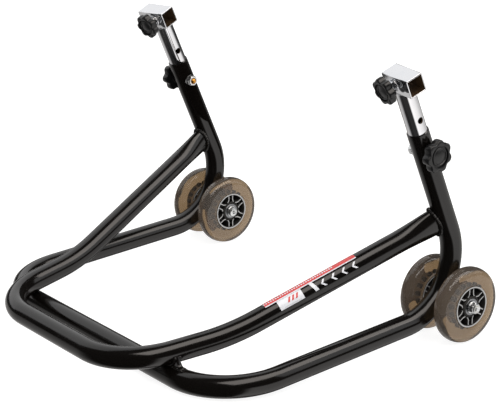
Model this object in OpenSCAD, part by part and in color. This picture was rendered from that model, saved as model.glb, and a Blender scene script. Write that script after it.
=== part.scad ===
// Paddock stand: two bent steel tubes welded into a rocking frame, four scooter wheels
// on two axles, and two telescopic posts that carry square receiver sockets.
// Millimetres. X runs across the stand, -Y is the handle end, +Z is up, floor at Z = 0.

/* [Tubes] */
// Outside diameter of the frame and handle tube
tube_od = 28; // [27:0.5:29]
// Wall of the frame and handle tube
tube_wall = 1.5; // [1.2:0.1:2]

/* [Base frame] */
// Distance from the middle of the stand to each upright
half_track = 248; // [235:1:260]
// Height of the upright's rim, on its centreline
rim_z = 283; // [275:1:295]
// Distance of the rim behind the middle of the stand
rim_y = 136; // [130:1:142]
// Where the upright and the floor rail would meet, behind the middle
heel_y = 243.4; // [240:0.2:247]
// Height at which the upright and the floor rail would meet
heel_z = 37.2; // [34:0.2:40]
// Centreline radius of the heel bend
heel_bend_r = 82; // [76:1:88]
// Distance of the crossbar in front of the middle
crossbar_y = 172.4; // [168:0.2:178]
// Half the crossbar's length between its corner points
crossbar_half = 251; // [248:1:254]
// Centreline radius of the crossbar's corners
corner_r = 86; // [80:1:92]

/* [Handle] */
// Height at which each arm meets its upright
arm_z = 163; // [158:1:168]
// Half the width between the arms at the knees
knee_x = 172; // [168:1:176]
// Distance of the knees in front of the middle
knee_y = 93.2; // [90:0.2:97]
// Height of the knees
knee_z = 50.2; // [49:0.2:54]
// Centreline radius of the knees
knee_r = 268; // [240:1:290]
// Half the width between the grip's corner points
grip_x = 140.6; // [136:0.2:145]
// Distance of the grip bar in front of the middle
grip_y = 237; // [232:1:242]
// Height of the grip bar
grip_z = 35.8; // [35:0.2:40]
// Centreline radius of the grip's corners
grip_r = 85; // [76:1:90]

/* [Wheels] */
// Tyre diameter
wheel_d = 100; // [98:1:102]
// Tyre and hub width
wheel_w = 24; // [23:0.5:25]
// Distance from the upright's plane to each wheel's middle plane
wheel_offset = 30.3; // [29.5:0.1:31]
// Distance of the axle behind the middle of the stand
axle_y = 201; // [200:0.5:202]
// Spokes of the hub, each a pair of ribs
spokes = 6; // [5:1:7]
// Diameter of the axle bolt and of the screws
bolt_d = 8; // [8:1:8]

/* [Posts and sockets] */
// Outside diameter of the post, a running fit in the upright
post_od = 24.9; // [24.84:0.02:24.96]
// Wall of the post
post_wall = 2; // [1.5:0.1:2.5]
// Height of the post above the rim, along the post
post_up = 62.8; // [60:0.2:66]
// Length of the post below the rim
post_down = 95; // [85:1:110]
// Pitch of the cross holes, which is also the height travel
hole_pitch = 25; // [25:1:25]
// Depth of the height screw below the rim
screw_depth = 31; // [29:1:33]
// Outside width of the receiver socket
socket_w = 24; // [23.6:0.2:24.4]
// Wall of the receiver socket
socket_wall = 1.6; // [1.4:0.1:2]
// Length of the receiver socket
socket_len = 49; // [46:1:52]
// Distance of the socket's middle outside the post's axis
socket_shift = 4.8; // [3:0.2:6]
// Angle by which the socket's outer end turns towards the handle
socket_yaw = 7; // [0:1:10]

/* [Knobs] */
// Diameter over the lobes of the height knob
height_knob_d = 42; // [38:1:44]
// Thickness of the height knob
height_knob_t = 13; // [12:0.5:15]
// Diameter over the lobes of the clamp knob
clamp_knob_d = 36; // [34:1:38]
// Thickness of the clamp knob
clamp_knob_t = 11.5; // [10:0.5:13]
// Lobes on each knob
lobes = 7; // [6:1:8]

/* [Sticker] */
// Start of the stripe along the arm, from the upright's axis
stripe_from = 131; // [120:1:140]
// Length of the stripe
stripe_len = 131; // [120:1:134]
// Distance from the upright's axis to the badge
badge_from = 213; // [205:1:220]
// Length of the badge
badge_len = 34; // [28:1:38]

/* [Hidden] */
$fn = 64;

tube_r = tube_od / 2;
bore_r = tube_r - tube_wall;
axle_z = wheel_d / 2;
lean = atan2(heel_y - rim_y, rim_z - heel_z);
weld_gap = 0.05;
bend_swell = 0.05;
bend_lap = 1;
run_clear = 0.05;
body_gap = 0.3;
bolt_r = bolt_d / 2;
screw_hole_r = bolt_r + 0.25;

// Bearings and washers on the axle, measured out from each wheel's middle plane
bearing_r = 11;
bearing_w = 7;
bearing_out = 11.5;
washer_t = 1.6;
boss_half = 17;
boss_r = 9;
axle_nut_h = 8;
axle_tip = 1.5;
head_h = 5;
nut_af = 13;

// Hub rings
rim_in_r = 24.5;
rim_out_r = 27.5;
flange_r = 33;
flange_w = 10;
hub_boss_r = 14;
tread_r = 9.5;

// Screws: the stack from the tube or the socket outwards
height_washer_t = 1;
height_nut_h = 6.5;
height_nut_out = 3;
clamp_nut_h = 5;
clamp_washer_t = 0.8;
clamp_play = 2.4;

// Corner points of the two bent tubes on the right-hand side
rim = [half_track, rim_y, rim_z];
heel = [half_track, heel_y, heel_z];
corner = [crossbar_half, -crossbar_y, tube_r + bend_swell];
arm_root = heel + (rim - heel) * (arm_z - heel_z) / (rim_z - heel_z);
knee = [knee_x, -knee_y, knee_z];
grip = [grip_x, -grip_y, grip_z];

function unit(v) = v / norm(v);
function mirrored_point(p) = [-p[0], p[1], p[2]];
function both_sides(points) =
    concat(points, [for (i = [len(points) - 1 : -1 : 0]) mirrored_point(points[i])]);
function turn(a, b, c) = acos(unit(b - a) * unit(c - b));
function setback(points, radii, i) =
    i == 0 || i == len(points) - 1 ? 0
    : radii[i - 1] * tan(turn(points[i - 1], points[i], points[i + 1]) / 2);

base_points = both_sides([rim, heel, corner]);
base_radii = [heel_bend_r, corner_r, corner_r, heel_bend_r];
arm_dir = unit(knee - arm_root);
arm_start = arm_root + arm_dir * 3;
handle_points = both_sides([arm_start, knee, grip]);
handle_radii = [knee_r, grip_r, grip_r, knee_r];

// Children are moved so that their X, Y and Z axes lie along x, y and z at point p
module place(p, x, y, z) {
    multmatrix([[x[0], y[0], z[0], p[0]],
                [x[1], y[1], z[1], p[1]],
                [x[2], y[2], z[2], p[2]],
                [0, 0, 0, 1]])
        children();
}

module ring(outer, inner) {
    difference() {
        circle(outer);
        if (inner > 0) circle(inner);
    }
}

// A tube through the points, with a bend of the given centreline radius at each corner.
// A bend is a little thicker than the straight lengths, which run a short way into it.
module bent_tube(points, radii, outer, inner = 0) {
    last = len(points) - 1;
    for (i = [0 : last - 1]) {
        d = unit(points[i + 1] - points[i]);
        from = points[i] + d * (setback(points, radii, i) - (i > 0 ? bend_lap : 0));
        to = points[i + 1] - d * (setback(points, radii, i + 1) - (i + 1 < last ? bend_lap : 0));
        side = unit(cross([0, 0, 1], d));
        place(from, side, cross(d, side), d) linear_extrude(norm(to - from)) ring(outer, inner);
    }
    for (i = [1 : last - 1]) {
        d1 = unit(points[i] - points[i - 1]);
        d2 = unit(points[i + 1] - points[i]);
        inward = unit(d2 - (d2 * d1) * d1);
        start = points[i] - d1 * setback(points, radii, i);
        place(start + inward * radii[i - 1], -inward, d1, cross(d1, inward))
            rotate_extrude(angle = turn(points[i - 1], points[i], points[i + 1]), $fn = 96)
                translate([radii[i - 1], 0])
                    ring(outer + bend_swell, inner > 0 ? inner - bend_swell : 0, $fn = 48);
    }
}

module base_solid(extra = 0) bent_tube(base_points, base_radii, tube_r + extra);

// Right-hand parts are drawn, and left-hand parts are their mirror image
module on_side(s) {
    if (s < 0) mirror([1, 0, 0]) children();
    else children();
}

// Z runs up the right-hand post from the rim, X points outwards
module on_post() translate(rim) rotate([lean, 0, 0]) children();

// Z points out along the height screw, from the post's axis
module on_height_screw() on_post() translate([0, 0, -screw_depth]) rotate([0, 90, 0]) children();

module on_socket() on_post() translate([0, 0, post_up]) rotate([0, 0, -socket_yaw]) children();

// Z points out along the clamp screw, towards the handle, from the socket's middle
module on_clamp_screw() on_socket() translate([0, 0, socket_w / 2]) rotate([90, 0, 0]) children();

// X runs along the right-hand axle, from the upright's plane
module on_axle() translate([half_track, axle_y, axle_z]) children();

// Z runs out along the axle from the middle plane of wheel k: 1 is outside, -1 is inside
module on_wheel(k) on_axle() translate([k * wheel_offset, 0, 0]) rotate([0, 90, 0]) children();

module base_tube() {
    color("black") difference() {
        bent_tube(base_points, base_radii, tube_r, bore_r);
        for (s = [-1, 1]) on_side(s) on_height_screw()
            cylinder(h = 2 * tube_od, r = screw_hole_r, center = true);
    }
}

module handle_tube() {
    color("black") difference() {
        bent_tube(handle_points, handle_radii, tube_r, bore_r);
        base_solid(weld_gap);
    }
}

module axle_boss() {
    color("black") on_axle() rotate([0, 90, 0]) difference() {
        cylinder(h = 2 * boss_half, r = boss_r, center = true);
        cylinder(h = 2 * boss_half + 2, r = bolt_r + run_clear, center = true);
        rotate([0, -90, 0]) translate(-[half_track, axle_y, axle_z]) base_solid(weld_gap);
    }
}

// A small plate that ties the handle arm to the crossbar where the arm passes over it
module cross_gusset() {
    plate_t = 6;
    reach = 27;
    inset = 4;
    step = (crossbar_y - knee_y) / (grip_y - knee_y);
    cross_x = knee_x + (grip_x - knee_x) * step;
    cross_z = knee_z + (grip_z - knee_z) * step;
    color("black") difference() {
        translate([cross_x, -crossbar_y + plate_t / 2, tube_r]) rotate([90, 0, 0])
            linear_extrude(plate_t)
                polygon([[inset, 0], [reach, 0], [reach - 1, tube_r + 2],
                         [tube_r + 2, cross_z - tube_r], [inset, cross_z - tube_r]]);
        base_solid(weld_gap);
        bent_tube(handle_points, handle_radii, tube_r + weld_gap);
    }
}

// A patch of foil on the right-hand arm. Angles run up from level, facing outwards.
module arm_patch(from, length, low, high, foil) {
    level = unit(cross([0, 0, 1], arm_dir));
    place(arm_root + arm_dir * from, level, cross(arm_dir, level), arm_dir)
        rotate([0, 0, low]) rotate_extrude(angle = high - low)
            translate([tube_r + weld_gap, 0]) square([foil, length]);
}

module sticker_stripe() color("red") arm_patch(stripe_from, stripe_len, 66, 118, 0.15);

module sticker_badge() color("white") arm_patch(badge_from, badge_len, 12, 65, 0.15);

module sticker_marks() {
    pitch = 15;
    count = 5;
    color("white") for (i = [0 : count - 1])
        arm_patch(stripe_from + 4 + i * pitch, 7, 20, 50, 0.15);
}

module axle_bolt() {
    reach = wheel_offset + bearing_out + body_gap + washer_t;
    color("silver") on_axle() rotate([0, 90, 0]) {
        translate([0, 0, -reach]) cylinder(h = 2 * reach + axle_nut_h + axle_tip, r = bolt_r);
        difference() {
            translate([0, 0, -reach - head_h]) cylinder(h = head_h, r = 7);
            translate([0, 0, -reach - head_h - 1]) cylinder(h = 4, d = 5.8, $fn = 6);
        }
    }
}

module axle_nut() {
    reach = wheel_offset + bearing_out + body_gap + washer_t;
    color("silver") on_axle() rotate([0, 90, 0]) translate([0, 0, reach]) difference() {
        cylinder(h = axle_nut_h, d = nut_af / cos(30), $fn = 6);
        translate([0, 0, -1]) cylinder(h = axle_nut_h + 2, r = bolt_r);
    }
}

module washer(r, t, hole_r) {
    difference() {
        cylinder(h = t, r = r);
        translate([0, 0, -1]) cylinder(h = t + 2, r = hole_r);
    }
}

module axle_washers() {
    inner_t = wheel_offset - bearing_out - body_gap - boss_half;
    color("silver") for (k = [-1, 1]) {
        on_axle() rotate([0, 90 * k, 0]) translate([0, 0, boss_half])
            washer(6.5, inner_t, bolt_r);
        on_axle() rotate([0, 90 * k, 0])
            translate([0, 0, wheel_offset + bearing_out + body_gap]) washer(8, washer_t, bolt_r);
    }
}

module tyre(k) {
    half = wheel_w / 2;
    color("peru") on_wheel(k) difference() {
        union() {
            cylinder(h = wheel_w, r = wheel_d / 2 - tread_r, center = true);
            rotate_extrude() intersection() {
                translate([wheel_d / 2 - tread_r - half * 0.4, 0]) circle(tread_r + half * 0.4);
                translate([wheel_d / 2 - tread_r - 1, -half]) square([tread_r + 2, wheel_w]);
            }
        }
        cylinder(h = wheel_w + 2, r = rim_out_r, center = true);
        cylinder(h = flange_w, r = flange_r, center = true);
    }
}

module hub(k) {
    spoke_in = hub_boss_r - 1;
    rib_t = 2.2;
    rib_gap = 6;
    spoke_w = 18;
    color("gray") on_wheel(k) {
        difference() {
            cylinder(h = wheel_w, r = rim_out_r, center = true);
            cylinder(h = wheel_w + 2, r = rim_in_r, center = true);
        }
        difference() {
            cylinder(h = flange_w, r = flange_r, center = true);
            cylinder(h = flange_w + 2, r = rim_out_r - 1, center = true);
        }
        difference() {
            cylinder(h = wheel_w - 0.6, r = hub_boss_r, center = true);
            for (e = [-1, 1]) translate([0, 0, e * (bearing_out - bearing_w / 2 + 1)])
                cylinder(h = bearing_w + 2, r = bearing_r, center = true);
            cylinder(h = wheel_w, r = 8, center = true);
        }
        for (i = [0 : spokes - 1]) rotate([0, 0, i * 360 / spokes]) {
            for (e = [-1, 1]) translate([spoke_in, e * rib_gap / 2 - rib_t / 2, -spoke_w / 2])
                cube([rim_in_r + 0.5 - spoke_in, rib_t, spoke_w]);
            translate([(rim_in_r + hub_boss_r) / 2 - 1, -rib_gap / 2, -spoke_w / 2])
                cube([2, rib_gap, spoke_w]);
        }
    }
}

module bearings(k) {
    color("silver") on_wheel(k) for (e = [-1, 1])
        translate([0, 0, e * (bearing_out - bearing_w / 2) - bearing_w / 2])
            washer(bearing_r, bearing_w, bolt_r + run_clear);
}

module bearing_spacer(k) {
    length = 2 * (bearing_out - bearing_w);
    color("silver") on_wheel(k) translate([0, 0, -length / 2])
        washer(6, length, bolt_r + run_clear);
}

module post_tube() {
    color("gainsboro") on_post() difference() {
        translate([0, 0, -post_down]) cylinder(h = post_down + post_up, r = post_od / 2);
        translate([0, 0, -post_down - 1])
            cylinder(h = post_down + post_up + 2, r = post_od / 2 - post_wall);
        for (i = [-1 : 2]) translate([0, 0, -screw_depth + i * hole_pitch]) rotate([0, 90, 0])
            cylinder(h = 2 * post_od, r = screw_hole_r, center = true);
        translate([-post_od, -screw_hole_r, -screw_depth])
            cube([2 * post_od, 2 * screw_hole_r, hole_pitch]);
    }
}

module receiver_socket() {
    inside = socket_w - 2 * socket_wall;
    color("gainsboro") on_socket() translate([socket_shift, 0, socket_w / 2]) difference() {
        cube([socket_len, socket_w, socket_w], center = true);
        cube([socket_len + 2, inside, inside], center = true);
        translate([-socket_shift, 0, 0]) rotate([90, 0, 0])
            cylinder(h = socket_w, r = screw_hole_r);
    }
}

module clamp_nut() {
    color("silver") on_clamp_screw() translate([0, 0, socket_w / 2]) difference() {
        cylinder(h = clamp_nut_h, d = nut_af / cos(30), $fn = 6);
        translate([0, 0, -1]) cylinder(h = clamp_nut_h + 2, r = bolt_r + run_clear);
    }
}

clamp_base = socket_w / 2 + clamp_nut_h + clamp_play;

module clamp_washer() {
    color("silver") on_clamp_screw() translate([0, 0, clamp_base - clamp_washer_t])
        washer(8, clamp_washer_t, bolt_r + 0.35);
}

// A star knob with a sunken ring round its raised middle, its back at Z = 0
module star_knob(d, t) {
    scallop_r = d * 0.15;
    groove_r = d * 0.27;
    difference() {
        cylinder(h = t, r = d / 2);
        for (i = [0 : lobes - 1]) rotate([0, 0, (i + 0.5) * 360 / lobes])
            translate([d * 0.56, 0, -1]) cylinder(h = t + 2, r = scallop_r, $fn = 32);
        translate([0, 0, t - 2]) difference() {
            cylinder(h = 3, r = groove_r);
            translate([0, 0, -1]) cylinder(h = 5, r = groove_r - 1.6);
        }
        translate([0, 0, -1]) cylinder(h = t - 3, r = bolt_r);
    }
}

module clamp_knob() {
    color("dimgray") on_clamp_screw() translate([0, 0, clamp_base + body_gap])
        star_knob(clamp_knob_d, clamp_knob_t);
}

module clamp_stud() {
    tip = socket_w / 2 - socket_wall;
    color("silver") on_clamp_screw() translate([0, 0, tip])
        cylinder(h = clamp_base + body_gap + clamp_knob_t - 4 - tip, r = bolt_r);
}

height_base = tube_r + body_gap + height_washer_t;

module height_nut() {
    color("silver") on_height_screw() rotate([180, 0, 0]) difference() {
        union() {
            translate([0, 0, tube_r - 2]) cylinder(h = 3, r = 8);
            cylinder(h = tube_r + 1 + height_nut_h, d = nut_af / cos(30), $fn = 6);
        }
        cylinder(h = 3 * tube_r, r = bolt_r + run_clear);
        rotate([0, 90, 0]) cylinder(h = 4 * tube_r, r = tube_r + weld_gap, center = true);
    }
}

module height_washer() {
    color("silver") on_height_screw() translate([0, 0, height_base - height_washer_t])
        washer(8, height_washer_t, bolt_r + 0.35);
}

module height_knob() {
    color("dimgray") on_height_screw() translate([0, 0, height_base + body_gap])
        star_knob(height_knob_d, height_knob_t);
}

module height_stud() {
    tip = tube_r + 1 + height_nut_h + height_nut_out;
    color("goldenrod") on_height_screw() translate([0, 0, -tip])
        cylinder(h = tip + height_base + body_gap + height_knob_t - 4, r = bolt_r);
}

base_tube();
handle_tube();
sticker_stripe();
sticker_badge();
sticker_marks();
on_side(-1) axle_boss();  // axle_boss_left
on_side(1) axle_boss();  // axle_boss_right
on_side(-1) cross_gusset();  // cross_gusset_left
on_side(1) cross_gusset();  // cross_gusset_right
on_side(-1) axle_bolt();  // axle_bolt_left
on_side(1) axle_bolt();  // axle_bolt_right
on_side(-1) axle_nut();  // axle_nut_left
on_side(1) axle_nut();  // axle_nut_right
on_side(-1) axle_washers();  // axle_washers_left
on_side(1) axle_washers();  // axle_washers_right
on_side(-1) height_nut();  // height_nut_left
on_side(1) height_nut();  // height_nut_right
on_side(-1) height_washer();  // height_washer_left
on_side(1) height_washer();  // height_washer_right
on_side(-1) height_knob();  // height_knob_left
on_side(1) height_knob();  // height_knob_right
on_side(-1) height_stud();  // height_stud_left
on_side(1) height_stud();  // height_stud_right
on_side(-1) post_tube();  // post_tube_left
on_side(1) post_tube();  // post_tube_right
on_side(-1) receiver_socket();  // receiver_socket_left
on_side(1) receiver_socket();  // receiver_socket_right
on_side(-1) clamp_nut();  // clamp_nut_left
on_side(1) clamp_nut();  // clamp_nut_right
on_side(-1) clamp_washer();  // clamp_washer_left
on_side(1) clamp_washer();  // clamp_washer_right
on_side(-1) clamp_knob();  // clamp_knob_left
on_side(1) clamp_knob();  // clamp_knob_right
on_side(-1) clamp_stud();  // clamp_stud_left
on_side(1) clamp_stud();  // clamp_stud_right
on_side(-1) tyre(1);  // tyre_left_outer
on_side(-1) tyre(-1);  // tyre_left_inner
on_side(1) tyre(-1);  // tyre_right_inner
on_side(1) tyre(1);  // tyre_right_outer
on_side(-1) hub(1);  // hub_left_outer
on_side(-1) hub(-1);  // hub_left_inner
on_side(1) hub(-1);  // hub_right_inner
on_side(1) hub(1);  // hub_right_outer
on_side(-1) bearings(1);  // bearings_left_outer
on_side(-1) bearings(-1);  // bearings_left_inner
on_side(1) bearings(-1);  // bearings_right_inner
on_side(1) bearings(1);  // bearings_right_outer
on_side(-1) bearing_spacer(1);  // bearing_spacer_left_outer
on_side(-1) bearing_spacer(-1);  // bearing_spacer_left_inner
on_side(1) bearing_spacer(-1);  // bearing_spacer_right_inner
on_side(1) bearing_spacer(1);  // bearing_spacer_right_outer
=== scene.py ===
# %% [markdown]
# # A paddock stand, piece by piece
# The stand is two bent steel tubes welded together, four clear scooter wheels on two axle
# bolts, and two chromed posts that slide in the uprights and carry square sockets.
# The CAD model comes in first. Every piece below is made where the CAD part is, in the same
# frame, and then stands in for it.

# %% Load the frame
import math

import bmesh
import bpy
from mathutils import Matrix, Vector


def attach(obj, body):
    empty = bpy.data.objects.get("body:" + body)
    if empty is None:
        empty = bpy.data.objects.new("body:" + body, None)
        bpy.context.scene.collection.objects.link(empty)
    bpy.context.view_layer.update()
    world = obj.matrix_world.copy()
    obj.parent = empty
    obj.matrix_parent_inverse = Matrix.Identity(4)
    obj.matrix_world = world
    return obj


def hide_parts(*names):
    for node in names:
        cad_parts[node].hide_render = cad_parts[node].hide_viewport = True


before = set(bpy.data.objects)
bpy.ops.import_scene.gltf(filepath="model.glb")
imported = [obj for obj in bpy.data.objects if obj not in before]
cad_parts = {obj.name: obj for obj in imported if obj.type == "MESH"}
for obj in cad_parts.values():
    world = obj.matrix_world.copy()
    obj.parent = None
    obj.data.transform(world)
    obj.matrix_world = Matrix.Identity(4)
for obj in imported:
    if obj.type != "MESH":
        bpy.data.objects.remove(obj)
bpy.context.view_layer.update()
MM = 0.001

# %% [markdown]
# ## Places
# A turned part is easiest to draw round its own Z axis, in millimetres. Each place below is
# a matrix from such a drawing to the stand. Only the right-hand side has places, because the
# left is its mirror image.

# %% Places on the stand
RIM = Vector((248.0, 136.0, 283.0))
HEEL = Vector((248.0, 243.4, 37.2))
CORNER = Vector((251.0, -172.4, 14.05))
ARM_ROOT_Z = 163.0
ARM_ROOT = HEEL + (RIM - HEEL) * (ARM_ROOT_Z - HEEL.z) / (RIM.z - HEEL.z)
KNEE = Vector((172.0, -93.2, 50.2))
GRIP = Vector((140.6, -237.0, 35.8))
LEAN = math.degrees(math.atan2(HEEL.y - RIM.y, RIM.z - HEEL.z))
AXLE_AT = Vector((248.0, 201.0, 50.0))
WHEEL_OUT = 30.3     # from an upright's middle plane to a wheel's
HUB_HALF = 11.5      # half the width over a hub's bearings
TUBE, BORE = 14.0, 12.5
HEEL_BEND = 82
SCREW_DOWN = 31      # the height screw's depth below the rim
POST_TOP = 62.8
SOCKET_YAW = 7
SOCKET_HALF = 12
RIGHT, LEFT = 1, -1
SIDES = {RIGHT: "right", LEFT: "left"}


def shift(x, y, z):
    return Matrix.Translation((x, y, z))


def spin(degrees, axis):
    return Matrix.Rotation(math.radians(degrees), 4, axis)


HERE = Matrix.Identity(4)
POST = shift(*RIM) @ spin(LEAN, "X")
HEIGHT_SCREW = POST @ shift(0, 0, -SCREW_DOWN) @ spin(90, "Y")
SOCKET = POST @ shift(0, 0, POST_TOP) @ spin(-SOCKET_YAW, "Z")
CLAMP_SCREW = SOCKET @ shift(0, 0, SOCKET_HALF) @ spin(90, "X")
AXLE = shift(*AXLE_AT) @ spin(90, "Y")
WHEELS = {"outer": AXLE @ shift(0, 0, WHEEL_OUT), "inner": AXLE @ shift(0, 0, -WHEEL_OUT)}
print("the uprights lean", round(LEAN, 2), "degrees")

# %% [markdown]
# ## Skins
# Nearly every part of the stand is a stack of loops with faces between them: a washer, a
# nut, a knob and a tyre differ only in how the radius changes with height and angle. One
# function skins a stack of loops, and another makes the loops from radii.

# %% Loops to mesh
def polar(radius, angle):
    """x and y from a radius and an angle in radians"""
    return radius * math.cos(angle), radius * math.sin(angle)


def skin(loops, ring=True, capped=False):
    """Faces between each loop and the next. A loop of one point is a pole, and a ring
    goes back to its first loop, as a washer does."""
    points, rows = [], []
    for loop in loops:
        rows.append(range(len(points), len(points) + len(loop)))
        points += loop
    pairs = list(zip(rows, rows[1:])) + ([(rows[-1], rows[0])] if ring else [])
    count = max(len(row) for row in rows)
    faces = []
    for low, high in pairs:
        for i in range(count):
            j = (i + 1) % count
            corners = [low[i % len(low)], low[j % len(low)], high[j % len(high)], high[i % len(high)]]
            corners = list(dict.fromkeys(corners))
            if len(corners) > 2:
                faces.append(corners)
    if capped:
        faces += [list(rows[0]), list(rows[-1])]
    return mesh_from(points, faces)


def mesh_from(points, faces):
    mesh = bpy.data.meshes.new("drawing")
    mesh.from_pydata([tuple(p) for p in points], [], faces)
    return tidied(mesh)


def tidied(mesh):
    """Merges doubles and turns every face outwards"""
    shape = bmesh.new()
    shape.from_mesh(mesh)
    bmesh.ops.remove_doubles(shape, verts=shape.verts, dist=1e-4)
    bmesh.ops.recalc_face_normals(shape, faces=shape.faces)
    shape.to_mesh(mesh)
    shape.free()
    return mesh


def loft(levels, steps=72):
    """A solid round Z from (radius, height) levels. Either may be a rule: the radius by
    angle in degrees, the height by x and y. Radius 0 at both ends makes a solid, and
    otherwise the levels close to a ring."""
    loops = []
    for radius, height in levels:
        if radius == 0:
            loops.append([(0, 0, height)])
            continue
        loop = []
        for i in range(steps):
            angle = i * 360 / steps
            r = radius(angle) if callable(radius) else radius
            x, y = polar(r, math.radians(angle))
            loop.append((x, y, height(x, y) if callable(height) else height))
        loops.append(loop)
    return skin(loops, ring=levels[0][0] != 0)


def hexagon(flats, limit=1e9):
    """Radius of a hexagon by angle, with its corners turned down to a circle"""
    return lambda angle: min(limit, flats / 2 / math.cos(math.radians(angle % 60 - 30)))


def joined(*meshes):
    """One mesh from several. Their materials go together by name."""
    whole = bmesh.new()
    finishes = []
    for mesh in meshes:
        start = len(whole.faces)
        whole.from_mesh(mesh)
        whole.faces.ensure_lookup_table()
        for face in whole.faces[start:]:
            finish = mesh.materials[face.material_index] if mesh.materials else None
            if finish not in finishes:
                finishes.append(finish)
            face.material_index = finishes.index(finish)
    result = bpy.data.meshes.new("joined")
    whole.to_mesh(result)
    whole.free()
    for finish in finishes:
        if finish:
            result.materials.append(finish)
    return result


def painted(mesh, finish, rule=None, other=None):
    """Gives a mesh its finish, and the faces that a rule picks another"""
    mesh.materials.clear()
    mesh.materials.append(finish)
    if rule:
        mesh.materials.append(other)
        for face in mesh.polygons:
            face.material_index = int(rule(face))
    return mesh


print("a test washer has", len(loft([(4, 0), (8, 0), (8, 1), (4, 1)]).polygons), "faces")

# %% [markdown]
# ## Geometry Nodes
# Ribs, welds, threads and rows of holes repeat by a rule, so a node tree makes them. Each
# tree takes a simple mesh, has named sizes, and ends in Realize Instances and Set Material,
# so that what comes out is plain mesh that any program can read.

# %% Node helpers
def add(tree, kind, inputs=None, **settings):
    """Adds one node. A value in inputs is a number, an output to link, or a node, which
    stands for its first output."""
    node = tree.nodes.new(kind)
    for name, value in settings.items():
        setattr(node, name, value)
    for name, value in (inputs or {}).items():
        if isinstance(value, bpy.types.Node):
            value = value.outputs[0]
        if isinstance(value, bpy.types.NodeSocket):
            tree.links.new(value, node.inputs[name])
        else:
            node.inputs[name].default_value = value
    return node


def new_tree(name, sizes):
    tree = bpy.data.node_groups.new(name, "GeometryNodeTree")
    tree.interface.new_socket("Geometry", in_out="INPUT", socket_type="NodeSocketGeometry")
    for label, kind in {**sizes, "Material": "Material"}.items():
        tree.interface.new_socket(label, in_out="INPUT", socket_type="NodeSocket" + kind)
    tree.interface.new_socket("Geometry", in_out="OUTPUT", socket_type="NodeSocketGeometry")
    return tree, add(tree, "NodeGroupInput").outputs


def end_tree(tree, last, given):
    real = add(tree, "GeometryNodeRealizeInstances", {0: last})
    finish = add(tree, "GeometryNodeSetMaterial", {0: real, "Material": given["Material"]})
    add(tree, "NodeGroupOutput", {0: finish})
    print("node tree", tree.name, "has", len(tree.nodes), "nodes")


def linked(name, data):
    """A new object in the scene"""
    result = bpy.data.objects.new(name, data)
    bpy.context.collection.objects.link(result)
    return result


def applied(mesh, kind, sizes=None, **settings):
    """The mesh as one modifier leaves it. A node tree's sizes are set by identifier."""
    holder = linked("holder", mesh)
    modifier = holder.modifiers.new(kind, kind)
    for name, value in settings.items():
        setattr(modifier, name, value)
    if sizes:
        for item in modifier.node_group.interface.items_tree:
            if item.in_out == "INPUT" and item.name in sizes:
                modifier[item.identifier] = sizes[item.name]
    graph = bpy.context.evaluated_depsgraph_get()
    result = bpy.data.meshes.new_from_object(holder.evaluated_get(graph))
    holder.modifiers.clear()
    bpy.data.objects.remove(holder)
    return result


print("node helpers ready in Blender", bpy.app.version_string)

# %% [markdown]
# ### A bent tube
# A bender draws straight tube round a die, so each bend is an arc of one radius. A curve
# object with a round bevel is quick, but has no bore and one radius for all. This tree reads
# a radius for each corner and sweeps two circles, for the wall and the bore.

# %% Tree: a bent tube along a path
sweep, given = new_tree("bent tube", {"Outer radius": "Float", "Inner radius": "Float",
    "Ring spacing": "Float", "Sides": "Int"})
bend = add(sweep, "GeometryNodeInputNamedAttribute", {"Name": "bend"}, data_type="FLOAT")
path = add(sweep, "GeometryNodeMeshToCurve", {0: given["Geometry"]})
path = add(sweep, "GeometryNodeFilletCurve", {"Curve": path, "Count": 40, "Radius": bend}, mode="POLY")
path = add(sweep, "GeometryNodeResampleCurve", {"Curve": path, "Length": given["Ring spacing"]},
    mode="LENGTH")
walls = add(sweep, "GeometryNodeJoinGeometry")
for radius in ("Inner radius", "Outer radius"):
    circle = add(sweep, "GeometryNodeCurvePrimitiveCircle",
        {"Resolution": given["Sides"], "Radius": given[radius]})
    wall = add(sweep, "GeometryNodeCurveToMesh", {"Curve": path, "Profile Curve": circle})
    sweep.links.new(wall.outputs[0], walls.inputs[0])
end_tree(sweep, walls, given)

# %% [markdown]
# ### A weld bead
# A welder lays a row of overlapping puddles. Sculpted ones could not be moved. The tree drops
# a flattened ball every 1.9 mm, a little wider or narrower by a fixed seed.

# %% Tree: a weld bead along a seam
bead, given = new_tree("weld bead", {"Ripple": "Float", "Width": "Float"})
seam = add(bead, "GeometryNodeMeshToCurve", {0: given["Geometry"]})
drops = add(bead, "GeometryNodeCurveToPoints", {"Curve": seam, "Length": given["Ripple"]}, mode="LENGTH")
drop = add(bead, "GeometryNodeMeshUVSphere", {"Segments": 12, "Rings": 8, "Radius": 0.5})
uneven = add(bead, "FunctionNodeRandomValue", {2: 0.88, 3: 1.12, "Seed": 7}, data_type="FLOAT")
wide = add(bead, "ShaderNodeMath", {0: given["Width"], 1: uneven.outputs[1]}, operation="MULTIPLY")
long = add(bead, "ShaderNodeMath", {0: given["Ripple"], 1: 2.1}, operation="MULTIPLY")
size = add(bead, "ShaderNodeCombineXYZ", {"X": wide, "Y": wide, "Z": long})
drops = add(bead, "GeometryNodeInstanceOnPoints",
    {"Points": drops.outputs["Points"], "Instance": drop, "Rotation": drops.outputs["Rotation"],
    "Scale": size})
end_tree(bead, drops, given)

# %% [markdown]
# ### A ring of parts
# Spokes and keys repeat at equal angles. An Array modifier needs a helper object to turn by,
# and the tree needs only the count.

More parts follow.
